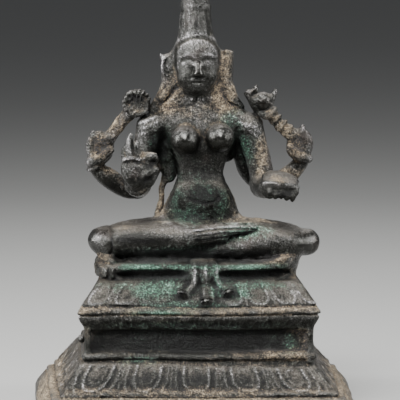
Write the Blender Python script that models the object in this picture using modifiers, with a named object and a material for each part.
"""A small cast bronze of the four-armed goddess Parvati.

She sits cross-legged on a cushion, on a rectangular pedestal with two bands of lotus petals.
The whole work is one casting, so it is one object. Metres, +Z up, front towards -Y,
with the origin under the middle of the pedestal.
"""
import math

import bmesh
import bpy
from mathutils import Euler, Matrix, Vector

# Pedestal: its foot, and the height of each moulding from the foot up
FOOT_WIDTH = 0.0840
FOOT_DEPTH = 0.0590
FOOT_HEIGHT = 0.0096
LOWER_PETALS_HEIGHT = 0.0074
LEDGE_HEIGHT = 0.0027
NECK_HEIGHT = 0.0097
LIP_HEIGHT = 0.0035
UPPER_PETALS_HEIGHT = 0.0057

# How far the sides lie inside the foot's sides, at each moulding
LOWER_PETALS_INSET = 0.0056
LEDGE_INSET = 0.0109
NECK_INSET = 0.0116
LIP_INSET = 0.0098
TOP_INSET = 0.0156

# Behind, the mouldings step in by only this share of what they do in front and at the sides
BACK_INSET_SHARE = 0.45

# The casting is out of square: behind, the lower tier is wider than in front and the upper one narrower
RIGHT_SPLAY = 0.0034
LEFT_SPLAY = 0.0006
UPPER_TAPER = 0.0040

# Sunk panel on each side of the neck
PANEL_SINK = 0.0016
PANEL_MARGIN = 0.0020

# Lotus petals in low relief on the two slopes
PETAL_RELIEF = 0.00055
LOWER_PETAL_PITCH = 0.0134
UPPER_PETAL_PITCH = 0.0073
PETAL_WIDTH_SHARE = 0.76

# Cushion on the pedestal's top
CUSHION_WIDTH = 0.0546
CUSHION_DEPTH = 0.0345
CUSHION_HEIGHT = 0.0059
CUSHION_GROOVE = 0.0015
CUSHION_OVERHANG = 0.0002

# Pleats of the waist cloth, which fall from the seat over the cushion and the slope, with a drop on each
PLEAT_WIDTH = 0.0023
PLEAT_THICKNESS = 0.0013
DROP_WIDTH = 0.0032
DROP_HEIGHT = 0.0023

# Figure, from the cushion's top to the tip of the crown; it sits a little behind the cushion's middle
# and to her right of it, and is turned a few degrees to her left
FIGURE_HEIGHT = 0.0764
FIGURE_SET_BACK = 0.00085
FIGURE_SET_RIGHT = 0.0009
FIGURE_TURN = 2.5

# How finely the joined figure is skinned, and the share of its faces that is kept
SKIN_SIZE = 0.00062
KEPT_FACES = 0.074

# The figure's points are given in units of about a millimetre, from its own seat
UNITS_TALL = 75.6
UNIT = FIGURE_HEIGHT / UNITS_TALL

PEDESTAL_HEIGHT = (
    FOOT_HEIGHT + LOWER_PETALS_HEIGHT + LEDGE_HEIGHT + NECK_HEIGHT + LIP_HEIGHT + UPPER_PETALS_HEIGHT
)
SEAT = PEDESTAL_HEIGHT + CUSHION_HEIGHT

# The origin is under the middle of the foot's box, so the square parts stand this far to her left
MIDDLE = (RIGHT_SPLAY - LEFT_SPLAY) / 2

for old in list(bpy.data.objects):
    bpy.data.objects.remove(old, do_unlink=True)

statue_parts = bpy.data.collections.new("parvati_statue_parts")
helpers = bpy.data.collections.new("helpers")
bpy.context.scene.collection.children.link(statue_parts)
bpy.context.scene.collection.children.link(helpers)


def new_object(name, mesh, collection):
    made = bpy.data.objects.new(name, mesh)
    collection.objects.link(made)
    return made


def helper(name, mesh):
    """A shape that is only cut away from, or joined into, the statue."""
    made = new_object(name, mesh, helpers)
    made.hide_render = True
    made.display_type = "WIRE"
    return made


def mesh_of(bm, name, twisted=False):
    """The mesh of a shape; a twisted loft's four-sided faces are split into flat triangles."""
    bmesh.ops.recalc_face_normals(bm, faces=bm.faces)
    if twisted:
        bmesh.ops.triangulate(bm, faces=bm.faces)
    mesh = bpy.data.meshes.new(name)
    bm.to_mesh(mesh)
    bm.free()
    return mesh


def loft(bm, rings):
    """Joins outlines of equal count, from the first to the last, and closes both ends."""
    loops = [[bm.verts.new(place) for place in ring] for ring in rings]
    count = len(rings[0])
    for lower, upper in zip(loops, loops[1:]):
        for i in range(count):
            j = (i + 1) % count
            bm.faces.new((lower[i], lower[j], upper[j], upper[i]))
    bm.faces.new(loops[0][::-1])
    bm.faces.new(loops[-1])


# Pedestal

def pedestal_levels():
    """(height, inset from the foot's side, share of the splay, share of the taper) up the pedestal."""
    petals = FOOT_HEIGHT + LOWER_PETALS_HEIGHT
    ledge = petals + LEDGE_HEIGHT
    lip = ledge + NECK_HEIGHT
    top_petals = lip + LIP_HEIGHT
    flare = NECK_INSET - LIP_INSET
    return [
        (0.0, 0.0, 1.0, 0.0),
        (FOOT_HEIGHT * 0.36, 0.0, 1.0, 0.0),
        (FOOT_HEIGHT * 0.48, LOWER_PETALS_INSET * 0.10, 1.0, 0.0),
        (FOOT_HEIGHT * 0.66, LOWER_PETALS_INSET * 0.36, 1.0, 0.0),
        (FOOT_HEIGHT * 0.78, LOWER_PETALS_INSET * 0.58, 1.0, 0.0),
        (FOOT_HEIGHT * 0.95, LOWER_PETALS_INSET * 0.62, 1.0, 0.0),
        (FOOT_HEIGHT * 0.99, LOWER_PETALS_INSET * 0.80, 1.0, 0.0),
        (FOOT_HEIGHT, LOWER_PETALS_INSET, 1.0, 0.0),
        (petals, LEDGE_INSET, 0.5, 0.0),
        (petals + LEDGE_HEIGHT * 0.15, LEDGE_INSET - LEDGE_HEIGHT * 0.20, 0.5, 0.0),
        (petals + LEDGE_HEIGHT * 0.80, LEDGE_INSET - LEDGE_HEIGHT * 0.10, 0.5, 0.0),
        (ledge, LEDGE_INSET + LEDGE_HEIGHT * 0.25, 0.4, 0.0),
        (ledge + NECK_HEIGHT * 0.05, NECK_INSET, 0.0, 0.3),
        (ledge + NECK_HEIGHT * 0.68, NECK_INSET, 0.0, 0.6),
        (ledge + NECK_HEIGHT * 0.82, NECK_INSET - flare * 0.25, 0.0, 0.8),
        (ledge + NECK_HEIGHT * 0.96, NECK_INSET - flare * 0.65, 0.0, 1.0),
        (lip + LIP_HEIGHT * 0.08, LIP_INSET, 0.0, 1.0),
        (lip + LIP_HEIGHT * 0.70, LIP_INSET + LIP_HEIGHT * 0.06, 0.0, 1.0),
        (top_petals, LIP_INSET + LIP_HEIGHT * 0.36, 0.0, 1.0),
        (PEDESTAL_HEIGHT, TOP_INSET, 0.0, 0.4),
    ]


def outline(height, inset, splay, taper):
    """The four corners at one level: front, then back, going round from her right."""
    x = FOOT_WIDTH / 2 - inset
    front = -FOOT_DEPTH / 2 + inset
    back = FOOT_DEPTH / 2 - inset * BACK_INSET_SHARE
    narrower = UPPER_TAPER * taper
    return [
        Vector((MIDDLE - x, front, height)),
        Vector((MIDDLE + x, front, height)),
        Vector((MIDDLE + x + LEFT_SPLAY * splay - narrower, back, height)),
        Vector((MIDDLE - x - RIGHT_SPLAY * splay + narrower, back, height)),
    ]


def pedestal_mesh():
    bm = bmesh.new()
    loft(bm, [outline(*level) for level in pedestal_levels()])
    return mesh_of(bm, "pedestal", twisted=True)


def neck_panels():
    """Boxes that sink a panel into each side of the neck, between corner posts."""
    levels = pedestal_levels()
    low = outline(*levels[12])
    high = outline(*levels[13])
    bm = bmesh.new()
    for side in range(4):
        a, b = low[side], low[(side + 1) % 4]
        c, d = high[(side + 1) % 4], high[side]
        across = (b - a).normalized()
        up = Vector((0, 0, 1))
        out = across.cross(up)
        rings = []
        for depth in (-PANEL_SINK, PANEL_SINK):
            rings.append([
                a + across * PANEL_MARGIN + out * depth + up * NECK_HEIGHT * 0.05,
                b - across * PANEL_MARGIN + out * depth + up * NECK_HEIGHT * 0.05,
                c - across * PANEL_MARGIN + out * depth - up * NECK_HEIGHT * 0.02,
                d + across * PANEL_MARGIN + out * depth - up * NECK_HEIGHT * 0.02,
            ])
        loft(bm, rings)
    return mesh_of(bm, "neck_panels", twisted=True)


def petal(bm, foot, head, across, out, width):
    """One raised petal on a slope: round at its foot and open at its head, with a domed boss."""
    length = (head - foot).length
    up = (head - foot) / length
    radius = width / 2
    rim = []
    for i in range(9):
        a = math.pi * i / 8
        rim.append((-math.cos(a) * radius, radius * (1 - math.sin(a)) + length * 0.06))
    rim.append((radius * 0.86, length * 0.97))
    rim.append((-radius * 0.86, length * 0.97))
    middle = (0.0, radius + length * 0.10)

    def ring(shrink, rise):
        return [
            foot + across * (middle[0] + (u - middle[0]) * shrink) + up * (middle[1] + (v - middle[1]) * shrink)
            + out * rise
            for u, v in rim
        ]

    loft(bm, [ring(1.0, -PETAL_RELIEF), ring(0.97, PETAL_RELIEF * 0.8), ring(0.84, PETAL_RELIEF)])


def petals_mesh():
    """Two rows of petals, one on each slope, spaced alike from the middle of every side."""
    levels = pedestal_levels()
    bm = bmesh.new()
    for lower, upper, pitch in (
        (levels[7], levels[8], LOWER_PETAL_PITCH),
        (levels[18], levels[19], UPPER_PETAL_PITCH),
    ):
        low = outline(*lower)
        high = outline(*upper)
        for side in range(4):
            low_a, low_b = low[side], low[(side + 1) % 4]
            high_a, high_b = high[side], high[(side + 1) % 4]
            across = (low_b - low_a).normalized()
            half = (low_b - low_a).length / 2
            count = 1 + 2 * math.floor((half - pitch * 0.44) / pitch)
            gather = (high_b - high_a).length / (low_b - low_a).length
            foot = (low_a + low_b) / 2
            head = (high_a + high_b) / 2
            out = (head - foot).cross(across).normalized()
            out = out if out.z > 0 else -out
            for i in range(count):
                move = across * pitch * (i - (count - 1) / 2)
                petal(bm, foot + move, head + move * gather, across, out, pitch * PETAL_WIDTH_SHARE)
    return mesh_of(bm, "petals")


# Figure, cushion and pleats: overlapping shapes, later skinned as one

wax = bmesh.new()


def take(mesh, matrix):
    """Adds a mesh, carried by matrix, to the wax."""
    mesh.transform(matrix)
    wax.from_mesh(mesh)
    bpy.data.meshes.remove(mesh)


def cushion_front():
    """Where the cushion's front lies: at the top edge of the slope of petals."""
    return -FOOT_DEPTH / 2 + TOP_INSET - CUSHION_OVERHANG


def figure_matrix():
    """From the figure's units, measured from its seat, to metres on the pedestal."""
    turn = Matrix.Rotation(math.radians(FIGURE_TURN), 4, "Z")
    middle = cushion_front() + CUSHION_DEPTH / 2 + FIGURE_SET_BACK
    return Matrix.Translation((MIDDLE - FIGURE_SET_RIGHT, middle, SEAT)) @ turn @ Matrix.Scale(UNIT, 4)


def ball(centre, radii, turn=(0, 0, 0)):
    """An ellipsoid; turn is in degrees about X, Y and Z."""
    bm = bmesh.new()
    bmesh.ops.create_uvsphere(bm, u_segments=24, v_segments=14, radius=1.0)
    shape = Matrix.Diagonal((*radii, 1.0))
    lean = Euler([math.radians(a) for a in turn]).to_matrix().to_4x4()
    take(mesh_of(bm, "ball"), figure_matrix() @ Matrix.Translation(centre) @ lean @ shape)


def smooth_stops(stops, steps=6):
    """Points on a smooth curve through the stops, each (x, y, z, radius)."""
    rows = [Vector(s) for s in stops]
    rows = [2 * rows[0] - rows[1], *rows, 2 * rows[-1] - rows[-2]]
    found = []
    for a, b, c, d in zip(rows, rows[1:], rows[2:], rows[3:]):
        for i in range(steps):
            t = i / steps
            found.append(
                0.5 * (2 * b + (c - a) * t + (2 * a - 5 * b + 4 * c - d) * t**2 + (3 * b - a - 3 * c + d) * t**3)
            )
    found.append(rows[-2])
    return found


def limb(*stops, flat=1.0):
    """A round limb through the stops, with ball ends. flat squeezes it front to back about its first stop."""
    path = smooth_stops(stops)
    curve = bpy.data.curves.new("limb", "CURVE")
    curve.dimensions = "3D"
    curve.bevel_depth = 1.0
    curve.bevel_resolution = 4
    curve.use_fill_caps = True
    spline = curve.splines.new("POLY")
    spline.points.add(len(path) - 1)
    for point, (x, y, z, radius) in zip(spline.points, path):
        point.co = (x, y, z, 1)
        point.radius = radius
    line = new_object("limb", curve, helpers)
    seen = line.evaluated_get(bpy.context.evaluated_depsgraph_get())
    mesh = bpy.data.meshes.new_from_object(seen)
    middle = Vector((0, stops[0][1], 0))
    squeeze = Matrix.Translation(middle) @ Matrix.Diagonal((1, flat, 1, 1)) @ Matrix.Translation(-middle)
    take(mesh, figure_matrix() @ squeeze)
    bpy.data.objects.remove(line, do_unlink=True)
    for x, y, z, radius in (stops[0], stops[-1]):
        ball((x, stops[0][1] + (y - stops[0][1]) * flat, z), (radius, radius * flat, radius))


def stack(sections, sides=28):
    """A body of oval sections, each (z, x, y, half width, half depth)."""
    bm = bmesh.new()
    rings = []
    for z, x, y, wide, deep in sections:
        turns = [2 * math.pi * i / sides for i in range(sides)]
        rings.append([(x + wide * math.cos(a), y + deep * math.sin(a), z) for a in turns])
    loft(bm, rings)
    take(mesh_of(bm, "stack"), figure_matrix())


def torso():
    stack([
        (-1.5, 1.4, 1.0, 13.5, 10.0),
        (3.0, 1.4, 1.0, 13.2, 9.4),
        (7.0, 1.5, 1.6, 11.8, 8.0),
        (9.5, 1.6, 1.4, 10.6, 7.2),
        (13.4, 1.8, 1.0, 9.2, 6.4),
        (16.1, 1.8, 0.8, 7.8, 5.6),
        (18.9, 1.7, 0.8, 6.6, 5.0),
        (21.0, 1.6, 0.8, 6.2, 4.7),
        (24.3, 1.7, 0.6, 6.9, 4.9),
        (27.0, 1.8, 0.5, 8.0, 5.3),
        (29.7, 1.8, 0.4, 9.1, 5.5),
        (33.0, 1.7, 0.4, 10.2, 5.2),
        (35.6, 1.5, 0.5, 9.8, 4.4),
        (37.8, 1.3, 0.6, 6.6, 3.6),
        (39.6, 1.1, 0.6, 4.2, 3.2),
    ])
    ball((1.8, -2.6, 14.2), (7.6, 5.0, 5.2))
    for side, x in ((-1, -2.9), (1, 6.6)):
        ball((x, -5.6, 31.3), (3.75, 4.3, 3.75))
    limb((-11.6, 0.6, 33.6, 3.2), (-6.0, 0.8, 36.4, 2.7), (1.0, 0.8, 38.2, 3.2),
         (8.0, 0.8, 36.6, 2.7), (14.4, 0.6, 33.6, 3.3))
    limb((1.2, 0.6, 37.0, 4.6), (0.8, 0.2, 40.5, 3.7), (0.5, -0.4, 44.0, 3.9))


def head():
    ball((0.5, -0.6, 50.0), (6.0, 6.4, 7.4))
    ball((0.5, -2.6, 46.2), (4.4, 4.4, 4.0))
    limb((0.5, -6.6, 51.4, 0.7), (0.5, -7.6, 48.8, 1.1))
    for side in (-1, 1):
        ball((0.5 + side * 6.3, 0.6, 49.6), (1.5, 2.0, 3.6))
    # hair and the long ear drops that come down to the shoulders
    limb((-8.2, 0.4, 51.6, 1.2), (-8.0, 0.6, 48.0, 1.5), (-7.9, 0.8, 44.4, 1.5), (-9.0, 0.6, 40.8, 1.4),
         (-10.4, 0.2, 38.2, 1.1))
    limb((-9.0, 0.2, 51.8, 0.8), (-9.4, -0.2, 52.9, 0.6))
    limb((9.2, 0.4, 52.6, 1.4), (8.9, 0.6, 48.6, 1.6), (8.9, 0.8, 44.6, 1.6), (10.2, 0.6, 40.8, 1.4),
         (12.0, 0.2, 38.0, 1.2))
    for side in (-1, 1):
        limb((0.6 + side * 5.6, 1.4, 50.0, 2.2), (0.7 + side * 5.2, 1.6, 44.0, 1.9), (0.9 + side * 5.6, 1.4, 39.4, 2.0))
    ball((0.5, 3.6, 44.4), (4.6, 2.6, 4.6))


def crown():
    """The tall crown of diminishing rings, with a raised crest in front."""
    stack([
        (48.0, 0.4, 0.6, 5.6, 5.8),
        (51.0, 0.4, 0.4, 6.5, 6.6),
        (54.2, 0.4, 0.2, 6.3, 6.5),
        (56.4, 0.4, 0.2, 5.4, 5.6),
        (60.0, 0.3, 0.2, 4.6, 4.7),
        (65.0, 0.3, 0.2, 4.1, 4.2),
        (65.6, 0.3, 0.2, 3.8, 3.9),
        (66.2, 0.3, 0.2, 4.0, 4.1),
        (69.0, 0.2, 0.2, 3.6, 3.7),
        (69.8, 0.2, 0.2, 3.1, 3.2),
        (70.6, 0.2, 0.2, 3.1, 3.2),
        (72.2, 0.2, 0.2, 2.3, 2.4),
        (73.0, 0.2, 0.2, 1.5, 1.5),
        (74.2, 0.2, 0.2, 1.5, 1.5),
        (75.2, 0.2, 0.2, 0.9, 0.9),
        (75.6, 0.2, 0.2, 0.3, 0.3),
    ])
    limb((0.4, -5.2, 57.8, 0.9), (0.35, -4.3, 61.0, 0.8), (0.3, -3.9, 64.4, 0.6))


def front_arms():
    limb((-12.0, 0.3, 33.2, 3.5), (-13.0, 0.0, 28.0, 3.3), (-14.2, -1.0, 22.5, 3.2), (-15.0, -3.0, 18.2, 3.1))
    limb((-15.0, -3.0, 18.2, 3.1), (-15.8, -9.0, 18.6, 2.9), (-16.2, -14.0, 20.6, 2.3))
    limb((14.8, 0.3, 33.0, 3.6), (16.3, 0.0, 27.5, 3.4), (17.8, -1.0, 21.5, 3.3), (18.0, -2.6, 17.8, 3.2))
    limb((18.0, -2.6, 17.8, 3.2), (18.8, -8.0, 17.8, 2.9), (19.8, -12.5, 18.6, 2.4))


def raised_hand():
    """Her right front hand, palm to the front, the finger and thumb closed in a ring."""
    ball((-16.2, -15.4, 24.4), (4.0, 2.0, 4.6), (0, 8, 0))
    limb((-17.6, -15.6, 27.0, 1.4), (-18.2, -16.0, 30.4, 1.2), (-18.0, -16.2, 32.6, 0.8))
    limb((-15.6, -15.6, 27.6, 1.3), (-16.0, -16.6, 30.2, 1.1), (-16.2, -16.8, 31.4, 0.8))
    limb((-14.4, -15.8, 27.4, 1.1), (-12.4, -16.6, 27.8, 0.9), (-11.6, -17.2, 25.6, 0.8), (-12.4, -17.4, 22.6, 0.8))
    limb((-14.8, -15.8, 21.6, 1.2), (-12.8, -16.8, 21.4, 1.0), (-11.9, -17.4, 22.8, 0.8))


def open_hand():
    """Her left front hand, palm up, the fingers curled down over its front edge."""
    ball((22.0, -14.8, 20.6), (4.9, 3.8, 1.5), (18, 10, 0))
    for i in range(4):
        x = 18.6 + 2.2 * i
        z = 19.6 - 0.42 * i
        limb((x, -16.6, z, 1.25), (x + 0.1, -18.8, z - 1.4, 1.15), (x + 0.1, -18.6, z - 4.0, 0.95))
    limb((19.0, -12.4, 20.4, 1.4), (17.8, -15.0, 20.0, 1.2), (17.8, -16.8, 18.2, 0.9))


def rear_arms():
    limb((-9.3, 2.5, 33.0, 3.2), (-9.8, 5.0, 27.0, 3.0), (-12.5, 5.4, 20.0, 2.9), (-15.0, 3.8, 16.6, 2.7))
    limb((-15.0, 3.8, 16.6, 2.7), (-18.2, 3.2, 16.6, 2.7), (-22.7, 2.0, 19.3, 2.6), (-25.8, 1.2, 21.8, 2.1),
         (-27.2, 0.6, 24.0, 1.8))
    limb((11.5, 3.0, 33.0, 3.2), (12.8, 5.0, 27.5, 3.0), (15.2, 5.4, 20.8, 2.9), (18.5, 4.2, 17.6, 2.7))
    limb((18.5, 4.2, 17.6, 2.7), (22.5, 3.4, 18.0, 2.6), (26.3, 2.2, 20.6, 2.4), (28.9, 1.2, 23.8, 2.0),
         (29.3, 0.6, 26.0, 1.8))
    # web of metal behind her right armpit, and the sash end that runs down to the hip
    limb((-7.0, 3.6, 27.0, 2.4), (-6.4, 3.6, 22.6, 2.4), (-6.6, 3.2, 19.6, 1.6))
    limb((-7.4, 3.2, 19.6, 1.0), (-8.6, 3.2, 16.4, 0.75), (-8.7, 3.0, 13.6, 0.75), (-9.6, 2.6, 9.6, 1.1))


def flower_hand(side, palm, stem_foot, stem_top):
    """A rear hand held up at shoulder height, with the stem of a flower between its fingers."""
    x, y, z = palm
    ball((x, y, z), (3.4, 1.7, 3.9), (0, side * 12, 0))
    for lean, rise in ((1.9, 4.6), (-0.5, 4.4)):
        limb((x + side * lean * 0.6, y - 0.2, z + 1.6, 1.1), (x + side * lean, y - 0.3, z + rise, 0.8))
    limb((*stem_foot, 1.7), (*(Vector(stem_foot).lerp(Vector(stem_top), 0.5)), 1.6), (*stem_top, 1.75))


def flowers():
    flower_hand(-1, (-25.5, 0.4, 28.2), (-22.6, 0.0, 31.2), (-17.0, -0.4, 37.2))
    ball((-15.2, -0.6, 40.2), (4.0, 2.3, 3.8))
    for i in range(9):
        a = 2 * math.pi * i / 9
        ball((-15.2 + 3.3 * math.cos(a), -1.6, 40.2 + 3.1 * math.sin(a)), (1.2, 1.3, 1.2))
    flower_hand(1, (28.7, 0.4, 28.9), (26.0, 0.0, 31.4), (20.6, -0.4, 36.8))
    ball((18.9, -0.5, 39.4), (2.9, 2.7, 3.3), (0, -35, 0))
    limb((17.4, -0.6, 41.0, 1.9), (16.0, -0.7, 42.6, 1.2), (14.9, -0.8, 43.6, 0.8))
    limb((16.6, -0.6, 42.2, 0.9), (16.4, -0.7, 44.4, 0.6))


def legs():
    # thighs
    limb((-4.0, 0.6, 4.8, 5.0), (-12.0, -1.0, 4.9, 4.3), (-20.0, -4.0, 4.7, 3.7), (-25.0, -7.0, 4.0, 2.8))
    limb((7.5, 0.6, 4.6, 5.0), (15.0, -1.0, 4.6, 4.3), (23.0, -4.0, 4.3, 3.8), (29.4, -7.0, 3.2, 2.9))
    ball((1.8, -3.0, 4.0), (12.0, 9.5, 4.4))
    # shins, her right one over her left
    limb((-25.2, -7.6, 3.9, 3.0), (-20.4, -10.6, 3.9, 3.6), (-11.0, -13.4, 4.4, 3.0), (-2.1, -14.6, 5.3, 2.6),
         (6.6, -14.4, 6.3, 1.9))
    limb((29.4, -7.6, 3.0, 3.0), (24.0, -10.8, 3.0, 3.5), (15.0, -12.8, 2.8, 3.2), (6.0, -12.4, 2.3, 2.6),
         (-4.0, -10.6, 2.0, 2.4), (-14.0, -8.6, 1.8, 2.2))
    # knee caps
    ball((-26.0, -8.0, 3.9), (2.4, 2.4, 2.5))
    ball((30.4, -7.6, 3.0), (2.4, 2.6, 2.9))
    # her right foot, sole up on the other thigh
    limb((1.6, -13.4, 6.9, 2.1), (7.6, -14.0, 7.2, 1.7), (12.0, -13.8, 7.4, 1.3), (14.6, -13.6, 7.6, 0.8))


def cushion():
    """A thick rounded pad with a groove round it, on the pedestal."""
    bm = bmesh.new()
    sides = 56
    edge = []
    for i in range(sides):
        a = 2 * math.pi * i / sides
        c, s = math.cos(a), math.sin(a)
        edge.append((math.copysign(abs(c) ** 0.42, c), math.copysign(abs(s) ** 0.42, s)))
    half_x, half_y = CUSHION_WIDTH / 2, CUSHION_DEPTH / 2
    middle = cushion_front() + half_y
    rings = []
    for share, inset in (
        (-0.20, CUSHION_GROOVE), (0.10, CUSHION_GROOVE), (0.30, CUSHION_GROOVE), (0.42, CUSHION_GROOVE * 0.7),
        (0.52, CUSHION_GROOVE * 0.2), (0.64, 0.0), (0.84, CUSHION_GROOVE * 0.4), (1.0, CUSHION_GROOVE * 1.6),
    ):
        z = PEDESTAL_HEIGHT + CUSHION_HEIGHT * share
        rings.append([(MIDDLE + (half_x - inset * 0.4) * x, middle + (half_y - inset) * y, z) for x, y in edge])
    loft(bm, rings)
    take(mesh_of(bm, "cushion"), Matrix.Identity(4))


def pleats():
    """The end of the waist cloth: three flat strips over the cushion and the slope, each with a drop."""
    to_units = figure_matrix().inverted()
    front = cushion_front()
    slope_foot = -(FOOT_DEPTH / 2 - LIP_INSET - LIP_HEIGHT * 0.36)
    slope_head = -(FOOT_DEPTH / 2 - TOP_INSET)
    radius = PLEAT_THICKNESS / 2 / UNIT
    drop_size = [half / UNIT for half in (DROP_WIDTH / 2, DROP_HEIGHT / 2, DROP_HEIGHT / 2)]
    edge = (PLEAT_WIDTH - PLEAT_THICKNESS) / 2

    def at(x, y, z):
        return to_units @ Vector((x, y, z))

    # where each strip's foot lies across from its top, and how far down the slope it reaches
    for strip, (foot, drop) in enumerate(((-0.0050, 0.52), (0.0012, 0.88), (0.0072, 0.46))):
        top = PLEAT_WIDTH * (strip - 0.6)
        end_y = slope_head + (slope_foot - slope_head) * drop
        end_z = PEDESTAL_HEIGHT - UPPER_PETALS_HEIGHT * drop
        bend = top + (foot - top) * 0.25
        for side in (-1, 1):
            x = MIDDLE + side * edge
            limb(
                (*at(x + top, front + 0.0018, SEAT + 0.0002), radius),
                (*at(x + top, front, SEAT - 0.0016), radius),
                (*at(x + top, front, PEDESTAL_HEIGHT + CUSHION_HEIGHT * 0.45), radius),
                (*at(x + bend, slope_head - 0.0002, PEDESTAL_HEIGHT + 0.0002), radius),
                (*at(MIDDLE + foot + side * edge * 0.6, end_y, end_z + 0.0003), radius),
            )
        ball(at(MIDDLE + foot, end_y - 0.0004, end_z), drop_size)


for shape in (torso, head, crown, front_arms, raised_hand, open_hand, rear_arms, flowers, legs, cushion, pleats):
    shape()

figure = helper("figure", bpy.data.meshes.new("figure"))
wax.to_mesh(figure.data)
wax.free()
skin = figure.modifiers.new("one skin", "REMESH")
skin.mode = "VOXEL"
skin.voxel_size = SKIN_SIZE
softened = figure.modifiers.new("softened joins", "SMOOTH")
softened.factor = 0.5
softened.iterations = 3
fewer = figure.modifiers.new("fewer faces", "DECIMATE")
fewer.ratio = KEPT_FACES

# One casting

statue = new_object("parvati_statue", pedestal_mesh(), statue_parts)
for name, shape, operation in (
    ("neck panels", helper("neck_panels", neck_panels()), "DIFFERENCE"),
    ("petals", helper("petals", petals_mesh()), "UNION"),
    ("figure", figure, "UNION"),
):
    join = statue.modifiers.new(name, "BOOLEAN")
    join.operation = operation
    join.object = shape
    join.solver = "EXACT"

bronze = bpy.data.materials.new("patinated_bronze")
bronze.use_nodes = True
surface = bronze.node_tree.nodes["Principled BSDF"]
surface.inputs["Base Color"].default_value = (0.075, 0.070, 0.060, 1.0)
surface.inputs["Metallic"].default_value = 0.6
surface.inputs["Roughness"].default_value = 0.5
statue.data.materials.append(bronze)
statue.data.shade_smooth()
statue.data.set_sharp_from_angle(angle=math.radians(35))
